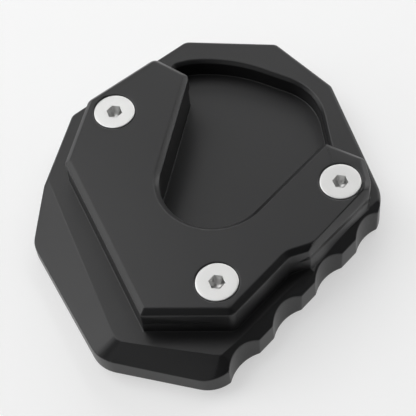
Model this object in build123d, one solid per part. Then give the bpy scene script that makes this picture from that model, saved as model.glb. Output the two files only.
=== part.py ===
from build123d import *
from math import cos, radians, sin, tan
import os

# Side-stand foot enlarger: a milled base plate with a pocket for the foot of the stand,
# a U-shaped clamp plate over it and three countersunk screws.
# Millimetres, +Z up, origin at the middle of the underside, the U opens towards +Y.

# Levels above the ground
POCKET_FLOOR = 4.3
BASE_TOP = 10.6
LAND_HEIGHT = 4.4
CLAMP_THICKNESS = 6.0
CLAMP_BOTTOM = BASE_TOP + LAND_HEIGHT
CLAMP_TOP = CLAMP_BOTTOM + CLAMP_THICKNESS

# Base plate, corners of its walls with the radius of each, counter-clockwise from front left
BASE_CORNERS = [
    ((-28.6, -50.9), 10.0),
    ((5.0, -58.3), 10.0),
    ((51.55, -2.6), 12.0),
    ((35.65, 40.65), 3.0),
    ((18.4, 57.05), 2.5),
    ((-10.0, 58.05), 3.5),
    ((-42.9, 29.45), 3.0),
    ((-48.75, 3.75), 0.0),
    ((-50.8, -13.15), 6.0),
]
BASE_EDGE_CHAMFER = 0.8

# Bevels of the base plate: where each leaves the top face, and how steeply it falls
# at its start and at its end
LEFT_BEVEL = ((-47.1, 4.4), (-23.4, -47.3), 25.0, 35.0)
FRONT_BEVEL = ((-23.4, -47.3), (5.4, -51.75), 42.5, 35.0)
RIGHT_BEVEL = ((5.4, -51.75), (46.5, -4.5), 34.5, 44.0)
BEVEL_REACH = 20.0
BEVEL_OVERRUN = 8.0

# Grip scallops along the right wall, cut a little deeper towards the top
SCALLOP_RADIUS = 12.0
SCALLOP_TOP_RADIUS = 9.5
SCALLOP_TOP_SHIFT = 3.2
SCALLOP_FIRST = (19.45, -57.15)
SCALLOP_PITCH = 18.1
SCALLOP_DIRECTION = 49.8
SCALLOP_COUNT = 4

# Clamp plate, corners of its outer walls with the radius of each, from the left arm's end
CLAMP_CORNERS = [
    ((-17.8, 43.65), 2.5),
    ((-36.5, 27.7), 3.0),
    ((-41.25, 5.25), 0.0),
    ((-16.05, -44.35), 0.0),
    ((8.8, -44.3), 3.0),
    ((23.8, -26.15), 4.0),
    ((31.25, -23.4), 4.0),
    ((45.85, -6.05), 0.0),
    ((46.75, -1.0), 0.0),
    ((45.05, 7.0), 2.2),
]
CLAMP_CHAMFER = 1.6

# Right side of the right arm: a steep facet from the top face down to a wall that stands on
# the right bevel, each given by the line where it starts
ARM_FACET = ((31.3, -21.15), (45.0, -4.15))
ARM_WALL = ((23.9, -30.5), (49.1, -1.5))
ARM_WALL_TOP = 17.2
ARM_FACET_OVERRUN = 0.25

# The U between the arms, which goes round the leg of the stand
U_CENTRE = (2.0, -0.8)
U_RADIUS = 15.6
LEFT_ARM_DIRECTION = 79.8
RIGHT_ARM_DIRECTION = 50.1
LEFT_ARM_LENGTH = 35.6
RIGHT_ARM_LENGTH = 30.4
LEFT_ARM_END_RADIUS = 2.2
RIGHT_ARM_END_RADIUS = 1.8

# Pocket for the foot: it lies under the clamp by its set-back and ends at a curved far wall
POCKET_SET_BACK = 0.9
POCKET_LEFT_END_DIRECTION = 122.0
POCKET_RIGHT_END_DIRECTION = -79.3
POCKET_LEFT_RADIUS = 1.5
POCKET_RIGHT_RADIUS = 3.0
POCKET_FAR_CORNERS = [
    ((30.9, 38.7), 17.5),
    ((5.95, 49.6), 45.0),
    ((-7.9, 49.6), 20.0),
    ((-13.9, 47.4), 2.0),
]
POCKET_RIM_CHAMFER = 1.1

# Countersunk socket screws, M6, and the holes that take them
SCREW_PLACES = [(-28.2, 22.7), (38.0, -1.9), (4.2, -34.7)]
HEAD_DIAMETER = 12.0
HEAD_RIM = 0.3
THREAD_DIAMETER = 6.0
SCREW_LENGTH = 16.0
SOCKET_WIDTH = 4.0
SOCKET_DEPTH = 2.5
SOCKET_DRILL_ANGLE = 30.0
CLEARANCE_DIAMETER = 6.6
SCREW_TIP_CHAMFER = 0.7
THREAD_CLEARANCE = 0.05
HOLE_BEYOND_SCREW = 1.6
DRILL_POINT_DEPTH = 1.5

LEFT_NORMAL = LEFT_ARM_DIRECTION + 90
RIGHT_NORMAL = RIGHT_ARM_DIRECTION - 90


def away(point, direction, distance):
    """The point that lies a distance away in a direction in degrees."""
    turn = radians(direction)
    return (point[0] + distance * cos(turn), point[1] + distance * sin(turn))


def outline(corners):
    """A face from corners given as ((x, y), radius)."""
    points = [point for point, radius in corners]
    radii = [radius for point, radius in corners]
    return make_face(FilletPolyline(points, radius=radii, close=True))


def slab(face, bottom, top):
    """A vertical prism of a face between two levels."""
    return extrude(Pos(0, 0, bottom) * face, amount=top - bottom)


def crossing(point, direction, other, other_direction):
    """The point where two lines cross, each given by a point and a direction."""
    turn = radians(direction)
    other_turn = radians(other_direction)
    gap_x = other[0] - point[0]
    gap_y = other[1] - point[1]
    across = cos(turn) * sin(other_turn) - sin(turn) * cos(other_turn)
    distance = (gap_x * sin(other_turn) - gap_y * cos(other_turn)) / across
    return away(point, direction, distance)


def u_tangents(radius):
    """The points where the round end of a U of a radius goes over to its left and right side."""
    return away(U_CENTRE, LEFT_NORMAL, radius), away(U_CENTRE, RIGHT_NORMAL, radius)


def clamp_face():
    """The clamp plate in plan, round the U."""
    left, right = u_tangents(U_RADIUS)
    left_end = away(left, LEFT_ARM_DIRECTION, LEFT_ARM_LENGTH)
    right_end = away(right, RIGHT_ARM_DIRECTION, RIGHT_ARM_LENGTH)
    corners = CLAMP_CORNERS + [(right_end, RIGHT_ARM_END_RADIUS), (right, 0.0), (left, 0.0)]
    corners.append((left_end, LEFT_ARM_END_RADIUS))
    return outline(corners) - Pos(*U_CENTRE) * Circle(U_RADIUS)


def pocket_face():
    """The foot pocket in plan: the U set back under the clamp, closed by the far wall."""
    radius = U_RADIUS + POCKET_SET_BACK
    left, right = u_tangents(radius)
    far_right = POCKET_FAR_CORNERS[0][0]
    far_left = POCKET_FAR_CORNERS[-1][0]
    left_end = crossing(left, LEFT_ARM_DIRECTION, far_left, POCKET_LEFT_END_DIRECTION)
    right_end = crossing(right, RIGHT_ARM_DIRECTION, far_right, POCKET_RIGHT_END_DIRECTION)
    corners = [(left, 0.0), (right, 0.0), (right_end, POCKET_RIGHT_RADIUS)]
    corners += POCKET_FAR_CORNERS
    corners.append((left_end, POCKET_LEFT_RADIUS))
    return outline(corners) + Pos(*U_CENTRE) * Circle(radius)


def bevel_section(point, direction, angle):
    """A wedge across a bevel, as a face that stands on the line where the bevel starts."""
    outward = direction - 90
    low = away(point, outward, BEVEL_REACH)
    drop = BEVEL_REACH * tan(radians(angle))
    corners = [
        (point[0], point[1], BASE_TOP),
        (low[0], low[1], BASE_TOP - drop),
        (low[0], low[1], CLAMP_TOP),
        (point[0], point[1], CLAMP_TOP),
    ]
    return make_face(Polyline(corners, close=True))


def bevel_cutter(start, end, start_angle, end_angle):
    """All that a bevel takes away, beyond both of its ends too."""
    direction = line_direction((start, end))
    sections = [
        bevel_section(away(start, direction, -BEVEL_OVERRUN), direction, start_angle),
        bevel_section(start, direction, start_angle),
        bevel_section(end, direction, end_angle),
        bevel_section(away(end, direction, BEVEL_OVERRUN), direction, end_angle),
    ]
    return loft(sections, ruled=True)


def scallop():
    """The cutter for a grip scallop, which leans in towards the plate from its foot up."""
    lean = away((0, 0), SCALLOP_DIRECTION + 90, SCALLOP_TOP_SHIFT)
    foot = Circle(SCALLOP_RADIUS)
    head = Pos(lean[0], lean[1], BASE_TOP) * Circle(SCALLOP_TOP_RADIUS)
    return loft([foot, head], ruled=True)


def scallops():
    """The cutters for the row of grip scallops."""
    cutter = scallop()
    places = [
        away(SCALLOP_FIRST, SCALLOP_DIRECTION, SCALLOP_PITCH * step)
        for step in range(SCALLOP_COUNT)
    ]
    return [Pos(*place) * cutter for place in places]


def arm_side_section(wall_point, facet_point, outward):
    """Across the right arm's outer side, all that lies outside its wall and steep facet."""
    crest_x = facet_point[0] + (facet_point[0] - wall_point[0]) * ARM_FACET_OVERRUN
    crest_y = facet_point[1] + (facet_point[1] - wall_point[1]) * ARM_FACET_OVERRUN
    crest_z = CLAMP_TOP + (CLAMP_TOP - ARM_WALL_TOP) * ARM_FACET_OVERRUN
    low = away(wall_point, outward, BEVEL_REACH)
    corners = [
        (wall_point[0], wall_point[1], 0),
        (low[0], low[1], 0),
        (low[0], low[1], crest_z),
        (crest_x, crest_y, crest_z),
        (wall_point[0], wall_point[1], ARM_WALL_TOP),
    ]
    return make_face(Polyline(corners, close=True))


def line_direction(line):
    """The direction in degrees of a line given by its two points."""
    run = Vector(*line[1]) - Vector(*line[0])
    return Vector(1, 0, 0).get_signed_angle(run, Vector(0, 0, 1))


def arm_side_cutter():
    """What the right arm's outer side loses to its wall and its steep facet."""
    wall_direction = line_direction(ARM_WALL)
    facet_direction = line_direction(ARM_FACET)
    sections = []
    for wall_point in ARM_WALL:
        facet_point = crossing(wall_point, wall_direction - 90, ARM_FACET[0], facet_direction)
        sections.append(arm_side_section(wall_point, facet_point, wall_direction - 90))
    return loft(sections, ruled=True)


def screw_hole():
    """A blind hole for the thread, with the point that the drill leaves."""
    radius = THREAD_DIAMETER / 2
    bottom = CLAMP_TOP - SCREW_LENGTH - HOLE_BEYOND_SCREW
    hole = slab(Circle(radius), bottom, CLAMP_TOP)
    point = Pos(0, 0, bottom - DRILL_POINT_DEPTH / 2) * Cone(0, radius, DRILL_POINT_DEPTH)
    return hole + point


def base_plate():
    """The base plate with its pocket, bevels, land, scallops and tapped holes."""
    body = slab(outline(BASE_CORNERS), 0, BASE_TOP)
    top_edges = body.faces().sort_by(Axis.Z)[-1].outer_wire().edges()
    body = chamfer(top_edges, BASE_EDGE_CHAMFER)
    for bevel in (LEFT_BEVEL, FRONT_BEVEL, RIGHT_BEVEL):
        body -= bevel_cutter(*bevel)
    pocket = pocket_face()
    rim_bottom = BASE_TOP - POCKET_RIM_CHAMFER
    body -= slab(pocket, POCKET_FLOOR, BASE_TOP)
    body -= extrude(Pos(0, 0, rim_bottom) * pocket, amount=POCKET_RIM_CHAMFER, taper=-45)
    body += slab(clamp_face() - pocket, rim_bottom, CLAMP_BOTTOM) - arm_side_cutter()
    for cutter in scallops():
        body -= cutter
    for place in SCREW_PLACES:
        body -= Pos(*place) * screw_hole()
    return body


def countersink():
    """A through hole in the clamp plate whose cone takes a screw head."""
    top_radius = HEAD_DIAMETER / 2 + HEAD_RIM
    bottom_radius = CLEARANCE_DIAMETER / 2
    depth = top_radius - bottom_radius
    cone = Pos(0, 0, CLAMP_TOP - depth / 2) * Cone(bottom_radius, top_radius, depth)
    return cone + slab(Circle(bottom_radius), CLAMP_BOTTOM, CLAMP_TOP)


def clamp_plate():
    """The U-shaped clamp plate, chamfered all round its top."""
    plate = slab(clamp_face(), CLAMP_BOTTOM, CLAMP_TOP)
    top_edges = plate.faces().sort_by(Axis.Z)[-1].outer_wire().edges()
    plate = chamfer(top_edges, CLAMP_CHAMFER) - arm_side_cutter()
    for place in SCREW_PLACES:
        plate -= Pos(*place) * countersink()
    return plate


def screw():
    """A countersunk socket screw, its head flush with the clamp plate."""
    head_radius = HEAD_DIAMETER / 2
    thread_radius = THREAD_DIAMETER / 2 - THREAD_CLEARANCE
    cone_depth = head_radius - thread_radius
    rim_bottom = CLAMP_TOP - HEAD_RIM
    head = slab(Circle(head_radius), rim_bottom, CLAMP_TOP)
    cone = Pos(0, 0, rim_bottom - cone_depth / 2) * Cone(thread_radius, head_radius, cone_depth)
    shank = slab(Circle(thread_radius), CLAMP_TOP - SCREW_LENGTH, rim_bottom)
    shank = chamfer(shank.edges().sort_by(Axis.Z)[0], SCREW_TIP_CHAMFER)
    socket_bottom = CLAMP_TOP - SOCKET_DEPTH
    hexagon = RegularPolygon(SOCKET_WIDTH / 2, 6, major_radius=False)
    socket = slab(hexagon, socket_bottom, CLAMP_TOP)
    point_depth = SOCKET_WIDTH / 2 * tan(radians(SOCKET_DRILL_ANGLE))
    point = Pos(0, 0, socket_bottom - point_depth / 2) * Cone(0, SOCKET_WIDTH / 2, point_depth)
    return head + cone + shank - socket - point


def screws():
    """The three screws, each where both plates have their holes."""
    one = screw()
    return Compound([Pos(*place) * one for place in SCREW_PLACES])


os.makedirs("parts", exist_ok=True)
export_step(base_plate(), "parts/base_plate.step")
export_step(clamp_plate(), "parts/clamp_plate.step")
export_step(screws(), "parts/countersunk_screws.step")
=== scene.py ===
from math import atan2, cos, pi, radians, sin

import bmesh
import bpy
from mathutils import Matrix, Vector


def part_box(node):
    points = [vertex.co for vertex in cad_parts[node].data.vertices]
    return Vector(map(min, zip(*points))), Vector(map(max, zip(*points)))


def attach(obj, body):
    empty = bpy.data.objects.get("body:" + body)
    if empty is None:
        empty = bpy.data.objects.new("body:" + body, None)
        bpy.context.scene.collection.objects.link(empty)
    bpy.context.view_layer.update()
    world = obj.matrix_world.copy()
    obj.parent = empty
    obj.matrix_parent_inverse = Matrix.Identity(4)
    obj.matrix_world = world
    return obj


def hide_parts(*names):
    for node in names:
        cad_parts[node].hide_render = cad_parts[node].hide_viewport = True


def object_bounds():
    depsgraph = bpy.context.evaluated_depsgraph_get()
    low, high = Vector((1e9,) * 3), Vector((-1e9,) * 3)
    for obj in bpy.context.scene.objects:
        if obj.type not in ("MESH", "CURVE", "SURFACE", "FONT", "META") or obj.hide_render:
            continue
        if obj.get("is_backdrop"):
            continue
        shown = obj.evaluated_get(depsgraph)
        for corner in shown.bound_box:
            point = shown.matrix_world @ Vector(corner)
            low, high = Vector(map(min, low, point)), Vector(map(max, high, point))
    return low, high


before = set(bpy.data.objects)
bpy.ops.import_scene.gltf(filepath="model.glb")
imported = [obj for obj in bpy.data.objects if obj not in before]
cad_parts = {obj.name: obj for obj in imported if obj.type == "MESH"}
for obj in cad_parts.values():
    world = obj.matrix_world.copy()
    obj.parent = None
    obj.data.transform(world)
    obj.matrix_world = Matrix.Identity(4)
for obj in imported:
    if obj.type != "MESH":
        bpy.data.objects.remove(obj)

bl_info = {
    "name": "Side-stand foot enlarger",
    "version": (1, 0, 0),
    "blender": (4, 5, 0),
    "location": "View3D > Sidebar > Foot enlarger",
    "description": "Dresses the milled plates and screws of a side-stand foot enlarger",
    "category": "Object",
}

MM = 0.001
BODY = "root"
BASE = "base_plate"
CLAMP = "clamp_plate"
SCREWS = "countersunk_screws"
IMAGE_SIZE = 416

# The screws are M6 countersunk socket screws, 16 mm long, as in the CAD model.
SCREW_PLACES = [(-28.2, 22.7), (38.0, -1.9), (4.2, -34.7)]
HEAD_RADIUS = 6.0 * MM
HEAD_RIM = 0.3 * MM
THREAD_RADIUS = 2.95 * MM
THREAD_CORE = 2.45 * MM
THREAD_PITCH = 1.0 * MM
SCREW_LENGTH = 16.0 * MM
SOCKET_WIDTH = 4.0 * MM
SOCKET_DEPTH = 2.5 * MM
SOCKET_TURN = radians(-7.0)
SCREW_SEGMENTS = 72
TURNING_RADIUS = "turning_radius"

# Corners of the CAD meshes that lie closer than this are one corner.
MERGE_DISTANCE = 0.002 * MM
SEAM_TOLERANCE = 0.01 * MM

# Edges that turn by more than this are broken. On the base plate an edge that is longer than
# the second value stays crisp where a face beside it is narrower than the third one.
SHARP_EDGE = radians(22)
LONG_EDGE = 10.0 * MM
EDGE_ROOM = 1.0 * MM

# Each mitre is rounded by this many planes, which cut the faces with a corner this near.
MITRE_PLANES = 6
MITRE_REACH = 14 * MM

# The mitres between the front bevel and its neighbours, in mm: top, foot
# and the radii of the rounding at both.
MITRES = [((-23.4, -47.3, 10.6), (-27.45, -50.58, 7.07), (7.0, 10.5)),
          ((5.4, -51.75, 10.6), (6.84, -55.5, 8.16), (3.0, 16.0))]

# The floor lies a little under the part, so that the two don't share a plane.
FLOOR_HALF_SIZE = 6.0
FLOOR_GAP = 0.02 * MM

# The soft boxes of the studio: name, azimuth, elevation, width, height in metres, radiance.
LAMP_DISTANCE = 1.2
SOFT_BOXES = [
    ("left_low_box", 180, 14, 0.70, 0.45, 2.8),
    ("right_back_low_box", 30, 6, 0.40, 0.14, 8.0),
    ("right_box", 0, 32, 0.60, 0.50, 0.5),
    ("right_back_box", 55, 35, 0.70, 0.60, 2.8),
    ("back_box", 90, 28, 0.60, 0.40, 3.6),
    ("back_high_box", 100, 60, 0.80, 0.80, 0.75),
    ("left_back_high_box", 156, 50, 1.00, 1.00, 2.5),
    ("left_front_box", 240, 32, 0.60, 0.60, 0.7),
    ("front_high_box", 280, 70, 0.70, 0.70, 0.55),
]


def linear(hex_colour):
    """An sRGB hex colour as linear red, green, blue and alpha."""
    values = [int(hex_colour[i:i + 2], 16) / 255 for i in (1, 3, 5)]
    channels = [value / 12.92 if value <= 0.04045 else ((value + 0.055) / 1.055) ** 2.4
                for value in values]
    return (*channels, 1.0)


class FootEnlargerSettings(bpy.types.PropertyGroup):
    """Sizes and colours of the dressed foot enlarger."""

    anodise_colour: bpy.props.FloatVectorProperty(
        name="Anodised colour", description="Dye of the anodised plates",
        subtype="COLOR", size=4, min=0.0, max=1.0, default=linear("#1d1d1e"))
    anodise_roughness: bpy.props.FloatProperty(
        name="Anodised roughness", description="Satin of the anodised plates",
        default=0.36, min=0.0, max=1.0, subtype="FACTOR")
    anodise_ior: bpy.props.FloatProperty(
        name="Anodised IOR", description="Index of refraction of the sealed oxide skin",
        default=1.45, min=1.0, max=2.0)
    steel_colour: bpy.props.FloatVectorProperty(
        name="Steel colour", description="Colour of the stainless screws",
        subtype="COLOR", size=4, min=0.0, max=1.0, default=linear("#cfcfce"))
    steel_roughness: bpy.props.FloatProperty(
        name="Steel roughness", description="Roughness of the screws",
        default=0.42, min=0.0, max=1.0, subtype="FACTOR")
    edge_break: bpy.props.FloatProperty(
        name="Edge break", description="Width of the broken edges of the milled plates",
        default=0.3 * MM, min=0.05 * MM, max=1.0 * MM, subtype="DISTANCE", unit="LENGTH")
    floor_colour: bpy.props.FloatVectorProperty(
        name="Floor colour", description="Colour of the studio floor",
        subtype="COLOR", size=4, min=0.0, max=1.0, default=linear("#ffffff"))
    floor_lift: bpy.props.FloatProperty(
        name="Floor lift", description="Share of the floor's white that doesn't fall in shadow",
        default=0.5, min=0.0, max=1.0, subtype="FACTOR")


def settings():
    """The settings of the scene."""
    return bpy.context.scene.foot_enlarger


def node(tree, kind, inputs=None, **values):
    """Adds a shader node, with its own settings and with links or values for its inputs."""
    added = tree.nodes.new(kind)
    for name, value in values.items():
        setattr(added, name, value)
    for name, value in (inputs or {}).items():
        if isinstance(value, bpy.types.NodeSocket):
            tree.links.new(value, added.inputs[name])
        else:
            added.inputs[name].default_value = value
    return added


def new_material(name):
    """An empty node material with its output."""
    material = bpy.data.materials.new(name)
    material.use_nodes = True
    material.node_tree.nodes.clear()
    output = material.node_tree.nodes.new("ShaderNodeOutputMaterial")
    return material, material.node_tree, output


def anodised_aluminium():
    """Black anodised aluminium, milled and then fine bead blasted.

    The dye makes it almost black and the clear oxide skin gives it a satin gloss, so flat
    faces mirror the soft boxes evenly. The blasting leaves a grain of about 0.1 mm, drawn
    here at 0.3 mm so that it shows, and its satin varies a little over some 20 mm.
    """
    material, tree, output = new_material("black_anodised_aluminium")
    place = node(tree, "ShaderNodeTexCoord").outputs["Object"]
    blast_grain = 0.3 * MM
    dye_patch = 20 * MM
    speckle_gain = 1.25
    grain = node(tree, "ShaderNodeTexNoise", {"Vector": place, "Scale": 1 / blast_grain,
                                              "Detail": 3.0, "Roughness": 0.6})
    patches = node(tree, "ShaderNodeTexNoise", {"Vector": place, "Scale": 1 / dye_patch,
                                                "Detail": 2.0})
    roughness = settings().anodise_roughness
    uneven = node(tree, "ShaderNodeMapRange", {
        "Value": patches.outputs["Fac"], "From Min": 0.3, "From Max": 0.7,
        "To Min": roughness - 0.015, "To Max": roughness + 0.015})
    dye = tuple(settings().anodise_colour)
    speckle = node(tree, "ShaderNodeMapRange", {
        "Value": grain.outputs["Fac"], "From Min": 0.35, "From Max": 0.65,
        "To Min": 0.0, "To Max": 1.0})
    paler = (*(channel * speckle_gain for channel in dye[:3]), 1.0)
    colour = node(tree, "ShaderNodeMix", {"Factor": speckle.outputs["Result"],
                                          "A": dye, "B": paler}, data_type="RGBA")
    bump = node(tree, "ShaderNodeBump", {"Height": grain.outputs["Fac"], "Strength": 0.08,
                                         "Distance": 0.02 * MM})
    skin = node(tree, "ShaderNodeBsdfPrincipled", {
        "Base Color": colour.outputs["Result"], "Metallic": 0.0,
        "Roughness": uneven.outputs["Result"], "IOR": settings().anodise_ior,
        "Normal": bump.outputs["Normal"]})
    tree.links.new(skin.outputs["BSDF"], output.inputs["Surface"])
    return material


def stainless_steel():
    """Stainless steel screws, turned and then tumbled: bright, grey and satin.

    The turning leaves fine rings round each screw's own axis, drawn 0.25 mm apart so that
    they show, and tumbling dulls them with a grain of small dents.
    """
    material, tree, output = new_material("tumbled_stainless_steel")
    place = node(tree, "ShaderNodeTexCoord").outputs["Object"]
    tumble_grain = 0.3 * MM
    ring_pitch = 0.25 * MM
    grain = node(tree, "ShaderNodeTexNoise", {"Vector": place, "Scale": 1 / tumble_grain,
                                              "Detail": 3.0, "Roughness": 0.6})
    radius = node(tree, "ShaderNodeAttribute", attribute_name=TURNING_RADIUS)
    across = node(tree, "ShaderNodeCombineXYZ", {"X": radius.outputs["Fac"]})
    rings = node(tree, "ShaderNodeTexWave", {
        "Vector": across.outputs["Vector"], "Scale": pi / (10 * ring_pitch),
        "Distortion": 0.0, "Detail": 0.0})
    ring_bump = node(tree, "ShaderNodeBump", {"Height": rings.outputs["Fac"], "Strength": 0.04,
                                              "Distance": 0.01 * MM})
    bump = node(tree, "ShaderNodeBump", {"Height": grain.outputs["Fac"], "Strength": 0.08,
                                         "Distance": 0.01 * MM,
                                         "Normal": ring_bump.outputs["Normal"]})
    roughness = settings().steel_roughness
    uneven = node(tree, "ShaderNodeMapRange", {
        "Value": grain.outputs["Fac"], "From Min": 0.3, "From Max": 0.7,
        "To Min": roughness - 0.03, "To Max": roughness + 0.03})
    metal = node(tree, "ShaderNodeBsdfPrincipled", {
        "Base Color": tuple(settings().steel_colour), "Metallic": 1.0,
        "Roughness": uneven.outputs["Result"], "Normal": bump.outputs["Normal"]})
    tree.links.new(metal.outputs["BSDF"], output.inputs["Surface"])
    return material


def round_mitre(shape, top, foot, radii):
    """Rounds the mitre from top to foot, where two bevels meet, by cutting it with planes.

    The planes touch a cone that has the first radius at the top and the last at the foot.
    """
    top, foot = Vector(top) * MM, Vector(foot) * MM
    middle = (top + foot) / 2
    highest = top.z + 0.05 * MM
    ridge = min(shape.edges, key=lambda edge: min(
        (edge.verts[0].co - top).length + (edge.verts[1].co - foot).length,
        (edge.verts[1].co - top).length + (edge.verts[0].co - foot).length))
    first, last = [face.normal.copy() for face in ridge.link_faces]
    turn = first.angle(last)
    for step in range(1, MITRE_PLANES + 1):
        share = step / (MITRE_PLANES + 1)
        normal = first.slerp(last, share)
        depths = [radius * MM * (cos((share - 0.5) * turn) / cos(turn / 2) - 1)
                  for radius in radii]
        start = top - normal * depths[0]
        along = (foot - normal * depths[1] - start).normalized()
        normal = (normal - along * normal.dot(along)).normalized()
        near = [face for face in shape.faces
                if max(corner.co.z for corner in face.verts) < highest
                and min((corner.co - middle).length for corner in face.verts) < MITRE_REACH]
        # a dict keeps the order, so that each run cuts in the same way
        cut = dict.fromkeys(near)
        for face in near:
            cut.update(dict.fromkeys((*face.edges, *face.verts)))
        bmesh.ops.bisect_plane(shape, geom=list(cut), dist=0.001 * MM, plane_co=start,
                               plane_no=normal, clear_outer=True)
        bmesh.ops.holes_fill(shape, edges=[edge for edge in shape.edges if edge.is_boundary],
                             sides=0)


def merged_node(node_name):
    """A copy of a CAD node's mesh with its doubles merged and its flat faces whole."""
    shape = bmesh.new()
    shape.from_mesh(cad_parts[node_name].data)
    bmesh.ops.remove_doubles(shape, verts=shape.verts, dist=MERGE_DISTANCE)
    bmesh.ops.dissolve_limit(shape, angle_limit=radians(0.3), verts=shape.verts,
                             edges=shape.edges)
    return shape


def split_faces(shape):
    """Cuts the faces that have more than four corners into triangles."""
    bmesh.ops.triangulate(shape, faces=[face for face in shape.faces if len(face.verts) > 4])


def weigh_edges(shape, narrow_stay_crisp=False):
    """Gives the sharp edges of a plate a bevel weight.

    The edges of the seam between the plates stay crisp, and on request the long edges
    beside a narrow face, which would fold under a broken edge.
    """
    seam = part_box(CLAMP)[0][2]
    weight = shape.edges.layers.float.new("bevel_weight_edge")
    for edge in shape.edges:
        if edge.calc_face_angle(0.0) <= SHARP_EDGE:
            continue
        length = edge.calc_length()
        on_seam = max(abs(corner.co.z - seam) for corner in edge.verts) < SEAM_TOLERANCE
        narrow = min(face.calc_area() for face in edge.link_faces) / length < EDGE_ROOM
        crisp = on_seam or (narrow_stay_crisp and narrow and length > LONG_EDGE)
        edge.smooth = not crisp
        edge[weight] = 0.0 if crisp else 1.0


def finish_piece(shape, name, node_name, material):
    """Makes the piece that replaces a CAD node from a shape."""
    for face in shape.faces:
        face.smooth = True
    mesh = bpy.data.meshes.new(name)
    shape.to_mesh(mesh)
    shape.free()
    piece = bpy.data.objects.new(name, mesh)
    bpy.context.scene.collection.objects.link(piece)
    mesh.materials.append(material)
    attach(piece, BODY)
    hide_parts(node_name)
    return piece


def break_edges(piece):
    """Breaks the weighted edges of a plate with a small round bevel."""
    bevel = piece.modifiers.new("broken_edges", "BEVEL")
    bevel.width = settings().edge_break
    bevel.segments = 2
    bevel.limit_method = "WEIGHT"
    bevel.use_clamp_overlap = False
    bevel.loop_slide = False


def shade_by_area(piece):
    """Turns the normals towards the larger faces, so that flat faces look flat."""
    shading = piece.modifiers.new("flat_faces", "WEIGHTED_NORMAL")
    shading.mode = "FACE_AREA"
    shading.weight = 50
    shading.keep_sharp = True


def turned_skin(shape, place, profile):
    """Spins a profile of radii and heights round a screw's axis. Gives its first ring's edges."""
    start = Matrix.Rotation(SOCKET_TURN, 3, "Z")
    corners = [shape.verts.new(place + start @ Vector((radius, 0, height)))
               for radius, height in profile]
    edges = [shape.edges.new(pair) for pair in zip(corners, corners[1:])]
    bmesh.ops.spin(shape, geom=corners + edges, cent=place, axis=(0, 0, 1), angle=2 * pi,
                   steps=SCREW_SEGMENTS, use_merge=True)
    return [edge for edge in shape.edges if edge.is_boundary
            and all(abs(corner.co.z - place.z - profile[0][1]) < 0.001 * MM
                    and abs((corner.co.xy - place.xy).length - profile[0][0]) < 0.02 * MM
                    for corner in edge.verts)]


def hexagon_ring(shape, place, edges, across, height):
    """Extrudes a ring to a hexagon of that width and height. Gives the hexagon's edges."""
    made = bmesh.ops.extrude_edge_only(shape, edges=edges)["geom"]
    for corner in made:
        if isinstance(corner, bmesh.types.BMVert):
            away = (corner.co - place).xy
            angle = atan2(away.y, away.x)
            from_flat = (angle - SOCKET_TURN) % (pi / 3) - pi / 6
            away = away.normalized() * across / 2 / cos(from_flat)
            corner.co = place + Vector((away.x, away.y, height))
    return [edge for edge in made if isinstance(edge, bmesh.types.BMEdge) and edge.is_boundary]


def thread_ridge(shape, place, top, bottom):
    """The ridge of the screw's thread, wound round its core and closed at both ends."""
    steps_per_turn = 20
    half_root = 0.44 * MM
    half_crest = 0.06 * MM
    inside = THREAD_CORE - 0.05 * MM
    turns = (top - bottom) / THREAD_PITCH
    section = [(inside, half_root), (THREAD_RADIUS, half_crest),
               (THREAD_RADIUS, -half_crest), (inside, -half_root)]
    corners = [shape.verts.new(place + Vector((radius, 0, top + rise)))
               for radius, rise in section]
    start = shape.faces.new(corners)
    steps = round(turns * steps_per_turn)
    bmesh.ops.spin(shape, geom=[start], cent=place, axis=(0, 0, 1),
                   angle=-2 * pi * steps / steps_per_turn,
                   steps=steps, dvec=(0, 0, -THREAD_PITCH / steps_per_turn))


def countersunk_screw(shape, place):
    """One countersunk socket screw with its head's top at place.

    The profile runs from a ring round the socket over the head's rim and its 90 degree cone,
    down the neck and the thread's core, to the point.
    """
    under_head = -HEAD_RIM - (HEAD_RADIUS - THREAD_RADIUS)
    rim = 0.12 * MM
    profile = [
        (HEAD_RADIUS - 0.9 * MM, 0.0), (HEAD_RADIUS - 0.35 * MM, 0.0),
        (HEAD_RADIUS - rim, -0.03 * MM), (HEAD_RADIUS - 0.03 * MM, -rim),
        (HEAD_RADIUS, -HEAD_RIM), (THREAD_RADIUS + 0.25 * MM, under_head + 0.25 * MM),
        (THREAD_RADIUS, under_head - 0.25 * MM), (THREAD_RADIUS, under_head - 0.9 * MM),
        (THREAD_CORE, under_head - 1.4 * MM), (THREAD_CORE, 0.5 * MM - SCREW_LENGTH),
        (THREAD_CORE - 0.5 * MM, -SCREW_LENGTH), (0.0, -SCREW_LENGTH)]
    rim_edges = turned_skin(shape, place, profile)
    lead_in = hexagon_ring(shape, place, rim_edges, SOCKET_WIDTH + 0.16 * MM, 0.0)
    mouth = hexagon_ring(shape, place, lead_in, SOCKET_WIDTH, -0.1 * MM)
    floor_rim = hexagon_ring(shape, place, mouth, SOCKET_WIDTH, -SOCKET_DEPTH)
    floor_middle = hexagon_ring(shape, place, floor_rim, 0.1 * MM, -SOCKET_DEPTH - 0.2 * MM)
    bmesh.ops.holes_fill(shape, edges=floor_middle, sides=0)
    thread_ridge(shape, place, under_head - 1.0 * MM, 0.75 * MM - SCREW_LENGTH)


class OBJECT_OT_dress_base_plate(bpy.types.Operator):
    """Dress the base plate in black anodised aluminium with broken edges"""
    bl_idname = "object.dress_base_plate"
    bl_label = "Dress base plate"

    def execute(self, context):
        shape = merged_node(BASE)
        for mitre in MITRES:
            round_mitre(shape, *mitre)
        weigh_edges(shape, narrow_stay_crisp=True)
        piece = finish_piece(shape, "base_plate_milled", BASE,
                             anodised_aluminium())
        break_edges(piece)
        shade_by_area(piece)
        return {"FINISHED"}


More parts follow.
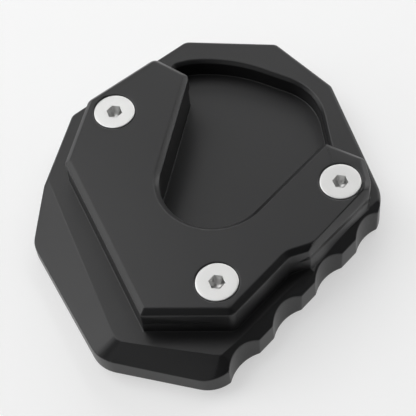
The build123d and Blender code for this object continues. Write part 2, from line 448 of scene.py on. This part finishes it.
class OBJECT_OT_dress_clamp_plate(bpy.types.Operator):
    """Dress the clamp plate in black anodised aluminium with broken edges"""
    bl_idname = "object.dress_clamp_plate"
    bl_label = "Dress clamp plate"

    def execute(self, context):
        shape = merged_node(CLAMP)
        split_faces(shape)
        weigh_edges(shape)
        piece = finish_piece(shape, "clamp_plate_milled", CLAMP,
                             anodised_aluminium())
        break_edges(piece)
        shade_by_area(piece)
        return {"FINISHED"}


class OBJECT_OT_dress_screws(bpy.types.Operator):
    """Turn the three countersunk socket screws in stainless steel"""
    bl_idname = "object.dress_screws"
    bl_label = "Dress screws"

    def execute(self, context):
        shape = bmesh.new()
        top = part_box(SCREWS)[1][2]
        turning_radius = shape.verts.layers.float.new(TURNING_RADIUS)
        for x, y in SCREW_PLACES:
            countersunk_screw(shape, Vector((x * MM, y * MM, top)))
        bmesh.ops.remove_doubles(shape, verts=shape.verts, dist=MERGE_DISTANCE)
        bmesh.ops.recalc_face_normals(shape, faces=shape.faces)
        for corner in shape.verts:
            corner[turning_radius] = min((corner.co.xy - Vector(place) * MM).length
                                         for place in SCREW_PLACES)
        split_faces(shape)
        piece = finish_piece(shape, "screws_turned", SCREWS, stainless_steel())
        shade_by_area(piece)
        return {"FINISHED"}


def softbox(target, name, azimuth, elevation, width, height, radiance):
    """A rectangular area light that looks at the target.

    Azimuth is counted from +X towards +Y, and radiance is what a mirror would show of it.
    """
    light = bpy.data.lights.new(name, "AREA")
    light.shape = "RECTANGLE"
    light.size = width
    light.size_y = height
    light.energy = radiance * pi * width * height
    lamp = bpy.data.objects.new(name, light)
    bpy.context.scene.collection.objects.link(lamp)
    turn, rise = radians(azimuth), radians(elevation)
    away = Vector((cos(turn) * cos(rise), sin(turn) * cos(rise), sin(rise)))
    lamp.location = target + away * LAMP_DISTANCE
    lamp.rotation_euler = (-away).to_track_quat("-Z", "Y").to_euler()
    lamp.visible_camera = False
    return lamp


def floor():
    """A wide white floor under the part.

    Part of its white is its own, where it is looked at, so the ground stays pale round the
    part's soft shadow, and the part mirrors the same ground.
    """
    shape = bmesh.new()
    bmesh.ops.create_grid(shape, x_segments=1, y_segments=1, size=FLOOR_HALF_SIZE)
    mesh = bpy.data.meshes.new("studio_floor")
    shape.to_mesh(mesh)
    shape.free()
    piece = bpy.data.objects.new("studio_floor", mesh)
    bpy.context.scene.collection.objects.link(piece)
    piece.location.z = -FLOOR_GAP
    material, tree, output = new_material("matt_white_floor")
    white = tuple(settings().floor_colour)
    matt = node(tree, "ShaderNodeBsdfDiffuse", {"Color": white})
    bright = node(tree, "ShaderNodeEmission", {"Color": white, "Strength": 1.0})
    ray = node(tree, "ShaderNodeLightPath").outputs
    mirrored = node(tree, "ShaderNodeMath", {0: ray["Is Glossy Ray"],
                                             1: ray["Is Transmission Ray"]}, operation="ADD")
    seen = node(tree, "ShaderNodeMath", {0: ray["Is Camera Ray"], 1: mirrored.outputs[0]},
                operation="ADD", use_clamp=True)
    share = node(tree, "ShaderNodeMath", {0: seen.outputs[0], 1: settings().floor_lift},
                 operation="MULTIPLY")
    shown = node(tree, "ShaderNodeMixShader", {0: share.outputs[0], 1: matt.outputs["BSDF"],
                                               2: bright.outputs["Emission"]})
    tree.links.new(shown.outputs["Shader"], output.inputs["Surface"])
    mesh.materials.append(material)
    piece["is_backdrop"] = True


def camera():
    """The photograph's camera: from the front, 57 degrees up, cropped sideways."""
    focal_pixels = 1390.44
    elevation = 57.447
    eye = Vector((32.3, -220.84, 349.87)) * MM
    principal_x = 320.39
    data = bpy.data.cameras.new("photo_camera")
    data.sensor_width = 36.0
    data.lens = focal_pixels / IMAGE_SIZE * data.sensor_width
    data.shift_x = -(principal_x - IMAGE_SIZE / 2) / IMAGE_SIZE
    data.clip_start = 0.01
    piece = bpy.data.objects.new("photo_camera", data)
    bpy.context.scene.collection.objects.link(piece)
    piece.location = eye
    piece.rotation_euler = (radians(90 - elevation), 0.0, 0.0)
    bpy.context.scene.camera = piece


class OBJECT_OT_set_stage(bpy.types.Operator):
    """Set the floor, the lights and the camera"""
    bl_idname = "object.set_foot_enlarger_stage"
    bl_label = "Set stage"

    def execute(self, context):
        low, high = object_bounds()
        centre = (Vector(low) + Vector(high)) / 2
        floor()
        for lamp in SOFT_BOXES:
            softbox(centre, *lamp)
        camera()
        bpy.context.scene.view_settings.view_transform = "Standard"
        return {"FINISHED"}


class VIEW3D_PT_foot_enlarger(bpy.types.Panel):
    """Sizes, colours and steps of the foot enlarger"""
    bl_label = "Foot enlarger"
    bl_space_type = "VIEW_3D"
    bl_region_type = "UI"
    bl_category = "Foot enlarger"

    def draw(self, context):
        for name in FootEnlargerSettings.__annotations__:
            self.layout.prop(context.scene.foot_enlarger, name)
        for step in STEPS:
            self.layout.operator(step.bl_idname)


STEPS = (OBJECT_OT_dress_base_plate, OBJECT_OT_dress_clamp_plate, OBJECT_OT_dress_screws,
         OBJECT_OT_set_stage)
CLASSES = (FootEnlargerSettings,) + STEPS + (VIEW3D_PT_foot_enlarger,)


def register():
    """Makes the add-on's classes and settings known to Blender."""
    for each in CLASSES:
        bpy.utils.register_class(each)
    bpy.types.Scene.foot_enlarger = bpy.props.PointerProperty(type=FootEnlargerSettings)


def unregister():
    """Takes the add-on's classes and settings out again."""
    del bpy.types.Scene.foot_enlarger
    for each in reversed(CLASSES):
        bpy.utils.unregister_class(each)


def main():
    """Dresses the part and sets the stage."""
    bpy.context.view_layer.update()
    register()
    bpy.ops.object.dress_base_plate()
    bpy.ops.object.dress_clamp_plate()
    bpy.ops.object.dress_screws()
    bpy.ops.object.set_foot_enlarger_stage()


if __name__ == "__main__":
    main()
